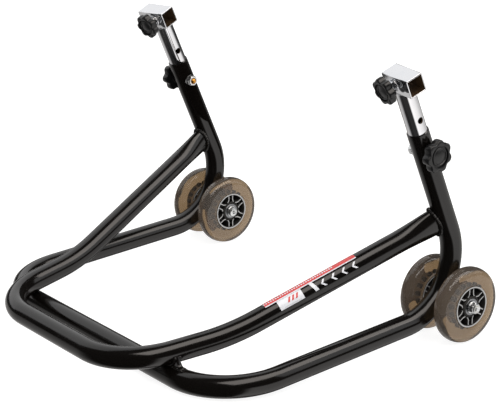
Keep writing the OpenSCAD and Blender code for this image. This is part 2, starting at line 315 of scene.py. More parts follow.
# %% Tree: a part repeated round an axle
round_axle, given = new_tree("ring of parts", {"Count": "Int"})
centres = add(round_axle, "GeometryNodeMeshLine", {"Count": given["Count"], "Offset": (0, 0, 0)})
which = add(round_axle, "GeometryNodeInputIndex")
step = add(round_axle, "ShaderNodeMath", {0: math.tau, 1: given["Count"]}, operation="DIVIDE")
turn = add(round_axle, "ShaderNodeMath", {0: which, 1: step}, operation="MULTIPLY")
turn = add(round_axle, "ShaderNodeCombineXYZ", {"Z": turn})
turn = add(round_axle, "FunctionNodeEulerToRotation", {0: turn})
copies = add(round_axle, "GeometryNodeInstanceOnPoints",
    {"Points": centres, "Instance": given["Geometry"], "Rotation": turn})
end_tree(round_axle, copies, given)

# %% [markdown]
# ### A screw thread
# A thread is a ridge that climbs one pitch a turn. A bump map would be lighter, but its edge
# would be straight. A small square swept up a spiral gives real crests in outline.

# %% Tree: a screw thread on a core
thread, given = new_tree("screw thread", {"Radius": "Float", "Pitch": "Float", "Turns": "Float",
    "Start": "Float"})
rise = add(thread, "ShaderNodeMath", {0: given["Pitch"], 1: given["Turns"]}, operation="MULTIPLY")
helix = add(thread, "GeometryNodeCurveSpiral",
    {"Resolution": 24, "Rotations": given["Turns"], "Start Radius": given["Radius"],
    "End Radius": given["Radius"], "Height": rise})
crest = add(thread, "ShaderNodeMath", {0: given["Pitch"], 1: 0.5}, operation="MULTIPLY")
crest = add(thread, "GeometryNodeCurvePrimitiveCircle", {"Resolution": 4, "Radius": crest})
ridge = add(thread, "GeometryNodeCurveToMesh", {"Curve": helix, "Profile Curve": crest, "Fill Caps": True})
place = add(thread, "ShaderNodeCombineXYZ", {"Z": given["Start"]})
ridge = add(thread, "GeometryNodeTransform", {0: ridge, "Translation": place})
both = add(thread, "GeometryNodeJoinGeometry", {0: given["Geometry"]})
thread.links.new(ridge.outputs[0], both.inputs[0])
end_tree(thread, both, given)

# %% [markdown]
# ### A row of cross holes
# The posts are drilled right across at equal steps. Black dots would pass from far off, but
# a Boolean gives holes with walls, and one exact Boolean can take all the drills at once.

# %% Tree: a row of cross holes
drill, given = new_tree("cross holes", {"Count": "Int", "Pitch": "Float", "First": "Float",
    "Hole radius": "Float"})
first = add(drill, "ShaderNodeCombineXYZ", {"Z": given["First"]})
pitch = add(drill, "ShaderNodeCombineXYZ", {"Z": given["Pitch"]})
row = add(drill, "GeometryNodeMeshLine", {"Count": given["Count"], "Start Location": first, "Offset": pitch})
bit = add(drill, "GeometryNodeMeshCylinder", {"Vertices": 32, "Radius": given["Hole radius"], "Depth": 60.0})
across = add(drill, "FunctionNodeEulerToRotation", {"Euler": (0, math.pi / 2, 0)})
bits = add(drill, "GeometryNodeInstanceOnPoints", {"Points": row, "Instance": bit, "Rotation": across})
bits = add(drill, "GeometryNodeRealizeInstances", {0: bits})
holed = add(drill, "GeometryNodeMeshBoolean", {0: given["Geometry"], 1: bits}, operation="DIFFERENCE",
    solver="EXACT")
end_tree(drill, holed, given)

# %% [markdown]
# ## Finishes
# Paint, plate, plastic and rubber are all the Principled shader with other numbers. Painted
# images would need every mesh unwrapped, so noise varies the surfaces instead. Patterns are
# in metres on Object coordinates: a 2 mm grain is a texture scale of 1 / 0.002. Moulding
# grain, plating crystals and grinding lines are too fine to show at this distance, and are
# drawn coarser, at 0.4 to 1.2 mm.

# %% Finish helper
def linear(code):
    """An sRGB hex colour as linear RGBA"""
    values = [int(code[i:i + 2], 16) / 255 for i in (1, 3, 5)]
    return [v / 12.92 if v <= 0.04045 else ((v + 0.055) / 1.055) ** 2.4 for v in values] + [1.0]


def new_finish(name, pale, dark, mottle, haze, texture, **look):
    """A surface that varies as real ones do. Its colour drifts between pale and dark over
    mottle millimetres. Its roughness drifts between two values over a distance, haze being
    (millimetres, smooth, rough). Texture is (grain, depth) in millimetres for its bump."""
    finish = bpy.data.materials.new(name)
    finish.use_nodes = True
    finish.diffuse_color = linear(pale)
    tree = finish.node_tree
    shader = tree.nodes["Principled BSDF"]
    for label, value in look.items():
        shader.inputs[label.replace("_", " ")].default_value = value
    where = add(tree, "ShaderNodeTexCoord").outputs["Object"]
    drift = add(tree, "ShaderNodeTexNoise", {"Vector": where, "Scale": 1 / (mottle * MM), "Detail": 3.0})
    colour = add(tree, "ShaderNodeMix", {0: drift, 6: linear(dark), 7: linear(pale)}, data_type="RGBA")
    tree.links.new(colour.outputs[2], shader.inputs["Base Color"])
    size, smooth, rough = haze
    patches = add(tree, "ShaderNodeTexNoise", {"Vector": where, "Scale": 1 / (size * MM), "Detail": 3.0})
    spread = add(tree, "ShaderNodeMapRange", {0: patches, 1: 0.3, 2: 0.7, 3: smooth, 4: rough})
    tree.links.new(spread.outputs[0], shader.inputs["Roughness"])
    size, depth = texture
    grain = add(tree, "ShaderNodeTexNoise", {"Vector": where, "Scale": 1 / (size * MM), "Detail": 1.0})
    bump = add(tree, "ShaderNodeBump", {"Height": grain, "Strength": 1.0, "Distance": depth * MM})
    tree.links.new(bump.outputs[0], shader.inputs["Normal"])
    return finish, tree, shader, where, bump


print("middle grey is", round(linear("#808080")[0], 3), "in linear light")

# %% [markdown]
# ### Steel, painted and plated
# The frame is powder coated: powder melts to a thick gloss skin with a slight orange peel.
# The posts are chromed, and the small parts are zinc plated. All of them vary a little in
# roughness, because a perfectly even gloss reads as computer-made.

# %% Painted and plated steel
# Black gloss with long, soft-edged highlights, a faint orange peel and a few dust nibs.
paint, tree, shader, where, peel = new_finish(
    "gloss_black_powder_coat", "#090706", "#050403", 60, (45, 0.11, 0.19), (2.2, 0.006))
nibs = add(tree, "ShaderNodeTexVoronoi", {"Vector": where, "Scale": 1 / (7 * MM)})
nibs = add(tree, "ShaderNodeMapRange", {0: nibs.outputs["Distance"], 1: 0.0, 2: 0.07, 3: 1.0, 4: 0.0})
nibs = add(tree, "ShaderNodeBump", {"Height": nibs, "Distance": 0.03 * MM, "Normal": peel})
tree.links.new(nibs.outputs[0], shader.inputs["Normal"])

# A clear cool mirror of the studio, softened in patches where it has been rubbed.
chrome = new_finish("bright_chrome_plate", "#efeff1", "#e2e4e8", 20, (14, 0.035, 0.10), (6, 0.004),
    Metallic=1.0)[0]
# The unplated bore: brown mill scale, dull enough for the hollow to read dark.
bare = new_finish("bare_rolled_steel", "#6a5238", "#3a2c1e", 5, (1.2, 0.38, 0.6), (1.0, 0.01),
    Metallic=0.7)[0]
# Bright zinc on bolts, nuts and washers: pale metal, hazier than chrome.
zinc = new_finish("bright_zinc_plate", "#eaebe8", "#d6d9de", 3, (1.5, 0.22, 0.36), (0.8, 0.006),
    Metallic=1.0)[0]
# Yellow passivated zinc: the brassy tint at the tips of the height screws.
gold_zinc = new_finish("yellow_passivated_zinc", "#dba44c", "#c9822e", 2, (1.0, 0.2, 0.35), (0.8, 0.006),
    Metallic=1.0)[0]
# Ground bearing rings: a satin grey that sets the pale nut off from the hub.
race_steel = new_finish("ground_bearing_steel", "#98999b", "#85878a", 2, (1.2, 0.22, 0.38), (0.4, 0.004),
    Metallic=1.0)[0]
print("metal finishes", len(bpy.data.materials))

# %% [markdown]
# ### Plastics, urethane and vinyl
# Knobs and hubs are moulded nylon, the tyres are cast urethane and the sticker is printed
# vinyl. The tyre could be a tinted glass surface, but then thick and thin parts would look
# alike, so its colour comes from absorption inside it.

# %% Plastics, urethane and vinyl
# Black nylon: a soft grey sheen on the lobes and no mirror image.
knob_nylon = new_finish("moulded_black_nylon", "#0c0c0d", "#080809", 9, (3, 0.27, 0.38), (0.5, 0.02))[0]
# The hub's own grey nylon, kept on the faces that look out along the axle: the pale lines
# that draw the rim and the spokes.
hub_nylon = new_finish("pale_grey_glass_nylon", "#a3a3a2", "#7f7f80", 4, (2, 0.34, 0.5), (0.6, 0.015))[0]
# Painted shade: the hub's nylon drawn dull and nearly black in its openings, pockets and keys.
shade_painted_nylon = new_finish(
    "nylon_painted_shade_dark", "#2a2927", "#1b1a19", 4, (2, 0.5, 0.7), (0.6, 0.015),
    Specular_IOR_Level=0.15)[0]
# Nylon wetted by the urethane: hardly any sheen, and a dim brown painted glow standing in for
# the light that the clear tyre carries round to it. The dark keys show against it.
glowing_bonded_nylon = new_finish(
    "bonded_nylon_painted_glow", "#4a443c", "#3a352f", 4, (2, 0.7, 0.9), (0.6, 0.015),
    Specular_IOR_Level=0.05, Emission_Color=linear("#cdb498"), Emission_Strength=0.15)[0]
# The lock nut's ring: a milky spot round the end of the bolt.
lock_nylon = new_finish("natural_nylon_ring", "#d9d6cb", "#c9c5b6", 2, (1, 0.4, 0.5), (0.5, 0.01))[0]
# Printed vinyl under a clear film: flat colour with a small gloss over it.
red_vinyl = new_finish("printed_red_vinyl", "#b42423", "#a61f1f", 6, (3, 0.22, 0.34), (1.2, 0.004),
    Coat_Weight=0.4)[0]
white_vinyl = new_finish("printed_white_vinyl", "#c4c6ca", "#bbbdc2", 6, (3, 0.22, 0.34), (1.2, 0.004),
    Coat_Weight=0.4)[0]
# Clear urethane: smoky brown where it is deep and paler where it is thin.
urethane, tree = new_finish(
    "cast_clear_urethane", "#e9dcd0", "#dccdbd", 15, (12, 0.02, 0.07), (9, 0.03),
    Transmission_Weight=0.94, IOR=1.45)[:2]
smoke = add(tree, "ShaderNodeVolumeAbsorption", {"Color": (0.34, 0.22, 0.0, 1.0), "Density": 88.0})
tree.links.new(smoke.outputs[0], tree.nodes["Material Output"].inputs["Volume"])
print("finishes", len(bpy.data.materials))

# %% [markdown]
# ## Fitting a piece
# A drawing becomes a piece here: it is moved to its place, mirrored if it is on the left,
# turned to metres and given its body, and the CAD part that it stands for is hidden. Smooth
# shading bends the reflections of a broad flat face, so faces over a limit of area are kept flat.

# %% Fit a piece
BROAD = 150 * MM * MM


def fit(name, drawing, place, side, body, nodes, slot, sharp=32):
    mesh = drawing.copy()
    mesh.name = name
    mirror = Matrix.Diagonal((side, 1, 1, 1))
    mesh.transform(Matrix.Diagonal((MM, MM, MM, 1)) @ mirror @ place)
    if side < 0:
        mesh.flip_normals()
    mesh.shade_smooth()
    mesh.set_sharp_from_angle(angle=math.radians(sharp))
    for face in mesh.polygons:
        face.use_smooth = face.area < BROAD
    piece = linked(name, mesh)
    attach(piece, body)
    if nodes:
        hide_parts(*nodes)
    return piece


def both_sides(part, drawing, place, body, slot, in_cad=True, **look):
    """The same part on both sides. The body's name ends in _left or _right, unless it is
    the frame's. Welds are not in the CAD model, so they stand for no part of it."""
    for side, word in SIDES.items():
        home = body if body == "frame" else body + "_" + word
        node = part + "_" + word
        fit("shown_" + node, drawing, place, side, home, [node] if in_cad else [], slot, **look)
    print(part, "left and right,", len(drawing.polygons), "faces each")


print("a face is flat shaded from", round(BROAD / MM / MM), "square mm")

# %% [markdown]
# ## The two bent tubes
# The floor frame is one 28 mm tube with a 1.5 mm wall, bent at both heels and both corners.
# The handle is a second tube, lying over it. Each spine is a few corners with a bend radius
# stored on each, as a bender's setting sheet has, and the tube tree does the rest.

# %% The two bent tubes
def mirrored(points):
    return points + [Vector((-p.x, p.y, p.z)) for p in reversed(points)]


def bent_tube(points, bends):
    spine = bpy.data.meshes.new("spine")
    spine.from_pydata(points, [(i, i + 1) for i in range(len(points) - 1)], [])
    spine.attributes.new("bend", "FLOAT", "POINT").data.foreach_set("value", bends)
    sizes = {"Outer radius": TUBE, "Inner radius": BORE, "Ring spacing": 5.0, "Sides": 56, "Material": paint}
    tube = applied(spine, "NODES", sizes, node_group=sweep)
    shape = bmesh.new()
    shape.from_mesh(tube)
    open_edges = [e for e in shape.edges if e.is_boundary]
    for end in (-1, 1):
        rims = [e for e in open_edges if e.verts[0].co.x * end > 0]
        bmesh.ops.bridge_loops(shape, edges=rims)
    bmesh.ops.recalc_face_normals(shape, faces=shape.faces)
    shape.to_mesh(tube)
    shape.free()
    print("tube", len(tube.polygons), "faces")
    return tube


frame_tube = bent_tube(mirrored([RIM, HEEL, CORNER]), [0, HEEL_BEND, 86, 86, HEEL_BEND, 0])
fit("shown_frame_tube", frame_tube, HERE, RIGHT, "frame", ["base_tube"], "black_paint")

# %% [markdown]
# ### Pressed arm ends
# Each arm is squeezed where it meets its upright, so that it is narrower and taller there and
# the weld is longer. A lattice could squeeze it. Moving the points by a rule of how far along
# the arm they are keeps the section exact, and lets the mouth follow the round upright.

# %% The handle, with its ends pressed oval and cut to the uprights
ARM = (KNEE - ARM_ROOT).normalized()
LEVEL = Vector((0, 0, 1)).cross(ARM).normalized()
ARM_UP = ARM.cross(LEVEL)
UPRIGHT = (RIM - HEEL).normalized()
PRESSED = 84.0


def reach_to_upright(point, radius):
    """How far along the arm from this point the upright's surface is"""
    gap = point - HEEL
    gap -= UPRIGHT * gap.dot(UPRIGHT)
    along = ARM - UPRIGHT * ARM.dot(UPRIGHT)
    a, b, c = along.dot(along), 2 * gap.dot(along), gap.dot(gap) - radius ** 2
    return (-b + math.sqrt(max(b * b - 4 * a * c, 0))) / (2 * a)


def pressed(across, up, amount):
    """A point of the arm's section, squeezed narrower and taller by an amount from 0 to 1"""
    return LEVEL * across * (1 - 0.36 * amount) + ARM_UP * up * (1 + 0.29 * amount)


handle = bent_tube(mirrored([ARM_ROOT, KNEE, GRIP]), [0, 268, 85, 85, 268, 0])
for vertex in handle.vertices:
    side = 1 if vertex.co.x > 0 else -1
    offset = Vector((vertex.co.x * side, vertex.co.y, vertex.co.z)) - ARM_ROOT
    along = offset.dot(ARM)
    if along > PRESSED:
        continue
    part = max(0.0, min(1.0, (PRESSED - 10 - along) / (PRESSED - 10)))
    amount = part * part * (3 - 2 * part)
    section = ARM_ROOT + pressed(offset.dot(LEVEL), offset.dot(ARM_UP), amount)
    start = reach_to_upright(section, TUBE - 0.7)
    moved = section + ARM * (start + (PRESSED - start) * along / PRESSED)
    vertex.co = (moved.x * side, moved.y, moved.z)
fit("shown_handle_tube", handle, HERE, RIGHT, "frame", ["handle_tube"], "black_paint")
print("the arms are pressed over", PRESSED, "mm")

# %% [markdown]
# ## Axle bosses, gussets and their welds
# A tube boss carries each axle bolt through the heel bend, and a small plate ties each arm
# to the crossbar. The boss is a stack of loops. The plate is an outline with thickness, and
# a Bevel modifier rounds its sawn edges, which would otherwise catch no light.

# %% Bosses and gussets
boss = painted(loft([(4.1, -17), (8.2, -17), (9, -16.2), (9, 16.2), (8.2, 17), (4.1, 17)]), paint)
both_sides("axle_boss", boss, AXLE, "frame", "black_paint")

CROSSING = KNEE + (GRIP - KNEE) * (CORNER.y - KNEE.y) / (GRIP.y - KNEE.y)
PLATE_TOP = CROSSING.z - TUBE
outline = [(4, 11), (27, 11), (26, 16), (21, 17.5), (17.5, 22), (16, PLATE_TOP), (4, PLATE_TOP)]
plate = skin([[(x, y, z) for x, z in outline] for y in (-3, 3)], ring=False, capped=True)
plate = applied(plate, "BEVEL", width=0.8, segments=2, limit_method="ANGLE")
both_sides("cross_gusset", painted(plate, paint), shift(CROSSING.x, CORNER.y, TUBE), "frame", "black_paint")

# %% [markdown]
# ### Weld seams
# The welds hold the stand together, under the paint. A seam can be found by intersecting two
# meshes, but both shapes are known here, so each is worked out from the radii of its tubes.

# %% Weld seams
def seam_bead(points, width, closed=True, finish=paint):
    """A weld along a seam of points"""
    line = bpy.data.meshes.new("seam")
    count = len(points)
    edges = [(i, (i + 1) % count) for i in range(count if closed else count - 1)]
    line.from_pydata([tuple(p) for p in points], edges, [])
    return applied(line, "NODES", {"Ripple": 1.9, "Width": width, "Material": finish}, node_group=bead)


def arm_seam():
    points = []
    for i in range(48):
        angle = i * math.tau / 48
        section = ARM_ROOT + pressed(*polar(14.4, angle), 1.0)
        points.append(section + ARM * reach_to_upright(section, 16.2))
    return points


def heel_path():
    """Points round the heel bend, from the upright to the floor rail"""
    rail = (CORNER - HEEL).normalized()
    half_turn = math.acos(-UPRIGHT.dot(rail)) / 2
    setback = HEEL_BEND * math.tan(half_turn)
    start = HEEL + UPRIGHT * setback
    inward = (rail + UPRIGHT).normalized()
    centre = HEEL + inward * (HEEL_BEND / math.cos(half_turn))
    arc = []
    first, last = start - centre, HEEL + rail * setback - centre
    for i in range(25):
        t = i / 24
        arc.append(centre + (first * (1 - t) + last * t).normalized() * HEEL_BEND)
    return arc


def boss_seam(end):
    """Where the boss leaves the tube on one side of the upright's plane"""
    path, points = heel_path(), []
    for i in range(32):
        y, z = polar(9.3, i * math.tau / 32)
        y, z = AXLE_AT.y + y, AXLE_AT.z + z
        off = min(math.hypot(y - p.y, z - p.z) for p in path)
        points.append(Vector((AXLE_AT.x + end * math.sqrt(max(14.3 ** 2 - off ** 2, 1)), y, z)))
    return points


def gusset_seam(side_of_plate):
    y = CORNER.y + side_of_plate * 3.4
    foot = [Vector((CROSSING.x + x, y, 27.9)) for x in (10, 18, 26.5)]
    wall = []
    for degrees in (-80, -60, -40, -20, -8):
        x, z = polar(14.6, math.radians(degrees))
        wall.append(Vector((CROSSING.x + x, y, CROSSING.z + z)))
    return foot, wall


right_beads = [seam_bead(arm_seam(), 6.2), seam_bead(boss_seam(1), 4.6), seam_bead(boss_seam(-1), 4.6)]
for side_of_plate in (-1, 1):
    for points in gusset_seam(side_of_plate):
        right_beads.append(seam_bead(points, 4.0, closed=False))
both_sides("frame_welds", joined(*right_beads), HERE, "frame", "black_paint", in_cad=False)

# %% [markdown]
# ## The sticker
# Printed vinyl laid round the right-hand arm: a red strip with a white edge, a white badge
# with slanted bars, and a row of plain chevrons. It could be an image on the tube's paint.
# Bands of small faces bent round the tube stay sharp at any distance, and their print can be
# given face by face. They are hidden from mirrors, as their red would stray on to the chrome.

# %% Bands of vinyl
axes = zip((*LEVEL, 0), (*ARM_UP, 0), (*ARM, 0), (0, 0, 0, 1))
ARM_FRAME = Matrix.Translation(ARM_ROOT) @ Matrix([list(row) for row in axes])


def band(start, length, low, high, columns, rows, finish, skew=None, radius=14.2, rule=None, other=None):
    """Foil on the arm, from low to high degrees up from level. Skew shifts it along the arm
    by a rule of how far round it is, from 0 to 1."""
    points, faces, prints = [], [], []
    for layer in (radius, radius - 0.13):
        for j in range(rows + 1):
            angle = math.radians(low + (high - low) * j / rows)
            slide = skew(j / rows) if skew else 0
            for i in range(columns + 1):
                along = start + slide + length * i / columns
                points.append((*polar(layer, angle), along))
    wide = columns + 1
    size = (rows + 1) * wide
    for layer in (0, size):
        for j in range(rows):
            for i in range(columns):
                a = layer + j * wide + i
                faces.append((a, a + 1, a + wide + 1, a + wide))
                prints.append(int(bool(rule and rule(i, j))))
    rim = list(range(wide)) + [(j + 1) * wide - 1 for j in range(1, rows + 1)]
    rim += [rows * wide + i for i in range(columns - 1, -1, -1)]
    rim += [j * wide for j in range(rows - 1, 0, -1)]
    for a, b in zip(rim, rim[1:] + rim[:1]):
        faces.append((a, b, b + size, a + size))
        prints.append(0)
    mesh = mesh_from(points, faces)
    mesh.materials.append(finish)
    mesh.materials.append(other or finish)
    for face, ink in zip(mesh.polygons, prints):
        face.material_index = ink
    return mesh


def stripe_ink(i, j):
    """True for the strip's white edge and for the white ticks along its middle"""
    return j == 0 or (j in (3, 4) and i % 2 and i > 18)


stripe = band(131, 131, 66, 118, 78, 8, red_vinyl, rule=stripe_ink, other=white_vinyl)
badge = band(213, 34, 12, 65, 16, 10, white_vinyl)
bars, marks = [], []
for i in range(3):
    bars.append(band(221 + i * 5.5, 3.0, 32, 56, 2, 6, red_vinyl, lambda t: -4 * t, 14.26))
fine = band(217, 24, 17, 19, 12, 1, hub_nylon, radius=14.24)
badge = joined(badge, *bars, fine)
for i in range(4):
    marks.append(band(135 + i * 15, 2.8, 16, 52, 1, 8, white_vinyl, lambda t: 4.2 - abs(t - 0.5) * 8.4))
marks.append(band(192, 5.0, 14, 66, 2, 12, white_vinyl, lambda t: 4.0 * t))
foils = {
    "stripe": (stripe, "sticker_red"), "badge": (badge, "sticker_white"),
    "marks": (joined(*marks), "sticker_white")}
for name, (drawing, slot) in foils.items():
    foil = fit("shown_sticker_" + name, drawing, ARM_FRAME, RIGHT, "frame", ["sticker_" + name], slot)
    foil.visible_glossy = False
print("sticker marks", len(marks), "and bars", len(bars))

# %% [markdown]
# ## Axles
# An M8 bolt goes in from the inner side of each pair of wheels, with a domed head and a hex
# socket, and a lock nut closes it outside. Bolt, nut and washers are turned parts, so each is
# a stack of loops, and only the thread needs a tree.

# %% Bolts, nuts and washers
OUT = WHEEL_OUT + HUB_HALF + 0.3


def threaded(core, radius, start, turns, finish):
    """A shank with an M8 thread whose crests reach the full radius"""
    sizes = {"Radius": radius - 0.62, "Pitch": 1.25, "Turns": turns, "Start": start, "Material": finish}
    return applied(core, "NODES", sizes, node_group=thread)


def washer(radius, hole, low, high):
    edge = min(0.25, (high - low) / 4)
    return loft([
        (hole, low), (radius - edge, low), (radius, low + edge), (radius, high - edge),
        (radius - edge, high), (hole, high)], 48)


head = OUT + 1.6
bolt = loft([
    (0, -head - 1.4), (hexagon(5), -head - 1.4), (hexagon(5), -head - 4.7), (3.2, -head - 5),
    (5.2, -head - 4.8), (6.3, -head - 4.1), (6.9, -head - 2.6), (7, -head - 0.4), (6.7, -head),
    (4, -head), (4, 38), (3.45, 38.6), (3.45, head + 9), (2.9, head + 9.5), (0, head + 9.5)])
bolt = threaded(painted(bolt, zinc), 4, 38.8, 11, zinc)
both_sides("axle_bolt", bolt, AXLE, "frame", "zinc_plate")

lock_nut = loft([
    (4.05, head), (hexagon(13, 6.6), head), (hexagon(13), head + 0.7), (hexagon(13), head + 5.0),
    (hexagon(13, 6.5), head + 5.8), (5.9, head + 6.0), (5.8, head + 7.6), (5.3, head + 8),
    (4.6, head + 8), (4.5, head + 7.0), (4.05, head + 7.0)])
collar = loft([(4.0, head + 6.8), (4.7, head + 6.8), (4.7, head + 7.7), (4.0, head + 7.7)])
both_sides("axle_nut", joined(painted(lock_nut, zinc), painted(collar, lock_nylon)), AXLE, "frame",
    "zinc_plate")

pack = [
    washer(6.5, 4.02, 17, 18.5), washer(6.5, 4.02, -18.5, -17),
    washer(8, 4.02, OUT, OUT + 1.6), washer(8, 4.02, -OUT - 1.6, -OUT)]
both_sides("axle_washers", painted(joined(*pack), zinc), AXLE, "frame", "zinc_plate")

# %% [markdown]
# ## Wheels
# A clear urethane tyre is cast round a ribbed nylon hub, so the hub's keys show through it.
# There is no air between the two. If both surfaces lay at one radius they would flicker, so
# the tyre's inner wall lies a little inside the hub's rim.

# %% Tyre
tyre_half = [(26.2, 10.6), (27.6, 11.0), (28.6, 11.45), (32, 11.8), (38.5, 11.9)]
for i in range(1, 14):
    a = math.radians(i * 90 / 14)
    tyre_half.append((38.5 + 11.35 * math.sin(a) ** 0.86, 11.9 * math.cos(a) ** 0.86))
tyre_half += [(49.83, 0.35), (49.96, 0.2)]
tyre = painted(loft(tyre_half + [(r, -z) for r, z in reversed(tyre_half)], 96), urethane)
print("tyre", len(tyre.polygons), "faces")

# %% [markdown]
# ### Hub
# The hub is moulded in one shot: a rim, a boss, six spokes of two ribs each, and keys outside
# that grip the tyre. Its outward sides show the nylon's pale grey, and its other faces are
# drawn dark as painted shade. One spoke and one key are drawn, and the ring tree repeats them.

# %% Hub
rim_ring = loft([
    (24.5, -11.2), (25.1, -11.9), (27.0, -12), (27.5, -11.5), (27.5, 11.5), (27.0, 12),
    (25.1, 11.9), (24.5, 11.2)], 96)
bearing_seat = loft([
    (8, -4.5), (11.05, -4.5), (11.05, -11.3), (11.5, -11.7), (13.2, -11.7), (14, -10.9),
    (14, 10.9), (13.2, 11.7), (11.5, 11.7), (11.05, 11.3), (11.05, 4.5), (8, 4.5)], 72)


def rib(side_of_spoke):
    """One rib of a spoke, flaring where it meets the boss"""
    loops = []
    for r in (13.2, 14.2, 15.4, 17.5, 21, 24.9):
        flare = max(0, (17.5 - r) / 4.3)
        middle = side_of_spoke * (3.5 + 2.2 * flare ** 1.6)
        thick, tall = 1.0 + 0.25 * flare, 10.6 - 0.5 * flare
        low, high = middle - thick, middle + thick
        loops.append([(r, low, -tall), (r, high, -tall), (r, high, tall), (r, low, tall)])
    return skin(loops, ring=False, capped=True)


def oblong(x1, x2, y, tall):
    return [(x1, y, -tall), (x2, y, -tall), (x2, y, tall), (x1, y, tall)]


bridge = skin([oblong(18.6, 20.4, y, 8.6) for y in (-3.2, 3.2)], ring=False, capped=True)
spoke = applied(joined(rib(1), rib(-1), bridge), "BEVEL", width=0.3, segments=1, limit_method="ANGLE")
spokes = applied(spoke, "NODES", {"Count": 6, "Material": hub_nylon}, node_group=round_axle)
key = [oblong(27.2, 31.8 - abs(y) * 0.2, y, 3.6) for y in (-3, -1, 1, 3)]
key = skin(key, ring=False, capped=True)
key = applied(key, "BEVEL", width=0.5, segments=1, limit_method="ANGLE")
keys = applied(key, "NODES", {"Count": 18, "Material": hub_nylon}, node_group=round_axle)


def rim_wall(face):
    """True for the outside of the rim, which the tyre is bonded to and which gets the painted glow"""
    return abs(face.normal.z) < 0.5 and face.center.xy.length > 27.3


rim_ring = painted(rim_ring, shade_painted_nylon, rim_wall, glowing_bonded_nylon)
# Painted shade: the keys, the bearing seat and the spokes all take the dark nylon, and only their outward
# sides are made pale below.
keys = painted(keys, shade_painted_nylon)
hub = joined(rim_ring, keys, painted(bearing_seat, shade_painted_nylon), painted(spokes, shade_painted_nylon))


def side_face(face):
    """True for the ends of the rim, ribs and boss, which keep the hub's pale grey; the other faces stay in
    painted shade
    """
    from_axle = face.center.xy.length
    return abs(face.normal.z) > 0.75 and abs(face.center.z) > 9 and (13.4 < from_axle < 27.6)


hub.materials.append(hub_nylon)
for face in hub.polygons:
    if side_face(face):
        face.material_index = len(hub.materials) - 1
print("hub", len(hub.polygons), "faces")

# %% [markdown]
# ### Bearings
# Two sealed ball bearings sit in each hub with a spacer between. Only rings and seals can be
# seen, so each bearing is one turned shape with a groove for its seal.

# %% Bearings and spacer
ball_race = [
    (4.05, 4.7), (4.05, 11.3), (4.3, 11.5), (5.7, 11.5), (5.9, 11.1), (9.3, 11.1), (9.5, 11.5),
    (10.7, 11.5), (11, 11.2), (11, 4.7), (10.7, 4.5), (4.3, 4.5)]
bearings = painted(joined(loft(ball_race), loft([(r, -z) for r, z in ball_race])), race_steel)
spacer = loft([(4.05, -4.5), (5.7, -4.5), (6, -4.2), (6, 4.2), (5.7, 4.5), (4.05, 4.5)], 48)
wheel_parts = {
    "tyre": (tyre, "urethane"), "hub": (hub, "hub_plastic"), "bearings": (bearings, "bearing_steel"),
    "bearing_spacer": (painted(spacer, race_steel), "bearing_steel")}
for side, word in SIDES.items():
    for place_name, place in WHEELS.items():
        which = word + "_" + place_name
        for part, (drawing, slot) in wheel_parts.items():
            node = part + "_" + which
            fit("shown_" + node, drawing, place, side, "wheel_" + which, [node], slot)
print("pieces in a wheel", len(wheel_parts))

# %% [markdown]
# ## Posts and sockets
# A chromed post slides in each upright. Its cross holes set the height, and a square socket
# is welded on top. The post has many rings up its length, so that the Boolean's cuts stay
# near the holes and the long faces keep their shading.

# %% Post
post_rings = [(12.45, z) for z in (-94.7, -70, -44, -18, 8, 30, POST_TOP)]
post = loft([(10.45, -94.8), (10.7, -95), (12.2, -95)] + post_rings + [(10.45, POST_TOP)], 96)
post = applied(post, "NODES", {"Count": 4, "Pitch": 25.0, "First": -56.0, "Hole radius": 4.25,
    "Material": chrome}, node_group=drill)
post = painted(post, chrome, lambda face: math.hypot(face.center.x, face.center.y) < 11.9, bare)
both_sides("post_tube", post, POST, "post", "chrome_plate", sharp=40)

# %% [markdown]
# ### Receiver socket
# A short square tube takes the lifting pad. A cube with a bevel would have no opening. Eight
# rounded squares in a ring make the walls inside and out, with the sawn edges eased.

# %% Receiver socket
def square_loop(width, corner, x):
    """A rounded square of points, whose middle is the socket's axis"""
    points, half = [], width / 2 - corner
    for quarter in range(4):
        for i in range(6):
            y, z = polar(corner, math.radians(quarter * 90 + i * 18))
            cy, cz = half * (1, -1, -1, 1)[quarter], half * (1, 1, -1, -1)[quarter]
            points.append((x, cy + y, SOCKET_HALF + cz + z))
    return points


middle, half_long = 4.8, 24.5
near, far = middle - half_long, middle + half_long
loops = [square_loop(width, corner, x) for width, corner, x in (
    (24, 1.3, near + 0.35), (24, 1.3, far - 0.35), (23.4, 1.1, far), (21.2, 0.7, far),
    (20.8, 0.6, far - 0.3), (20.8, 0.6, near + 0.3), (21.2, 0.7, near), (23.4, 1.1, near))]
socket = skin(loops)


def inside_socket(face):
    """True for the four inner walls, which the plating bath hardly reaches"""
    x, y, z = face.center
    return max(abs(y), abs(z - SOCKET_HALF)) < 10.6 and near + 0.2 < x < far - 0.2


socket = painted(socket, chrome, inside_socket, bare)
both_sides("receiver_socket", socket, SOCKET, "post", "chrome_plate", sharp=50)

# %% [markdown]
# ### Clamp nut
# A nut welded on the socket's wall gives the clamp screw its thread. The beads are chromed
# with the rest, so the bead tree takes the chrome finish.

# %% Clamp nut and its welds
clamp_nut = loft([(4.05, SOCKET_HALF), (hexagon(13), SOCKET_HALF), (hexagon(13), 16.4),
    (hexagon(13, 6.5), 17), (4.5, 17), (4.05, 16.6)])
both_sides("clamp_nut", painted(clamp_nut, chrome), CLAMP_SCREW, "post", "chrome_plate")


def round_path(radius, height, count):
    return [(*polar(radius, i * math.tau / count), height) for i in range(count)]


nut_seam = round_path(7.3, 12.3, 24)
post_seam = [p for p in round_path(12.9, -0.6, 36) if abs(p[1]) < 11.6]
post_welds = (("nut", nut_seam, 2.6, CLAMP_SCREW), ("socket", post_seam, 2.4, SOCKET))
for side, word in SIDES.items():
    for part, seam, width, place in post_welds:
        weld = seam_bead(seam, width, finish=chrome)
        fit("shown_" + part + "_weld_" + word, weld, place, side, "post_" + word, [], "chrome_plate")

# %% [markdown]
# ## Star knobs and their screws
# Two screws on each side carry seven-lobed star knobs. Seven cylinders cut from a disc would
# give the outline. A rule of radius by angle gives it too, full at a lobe and drawn in
# between two, and also rounds the edges.

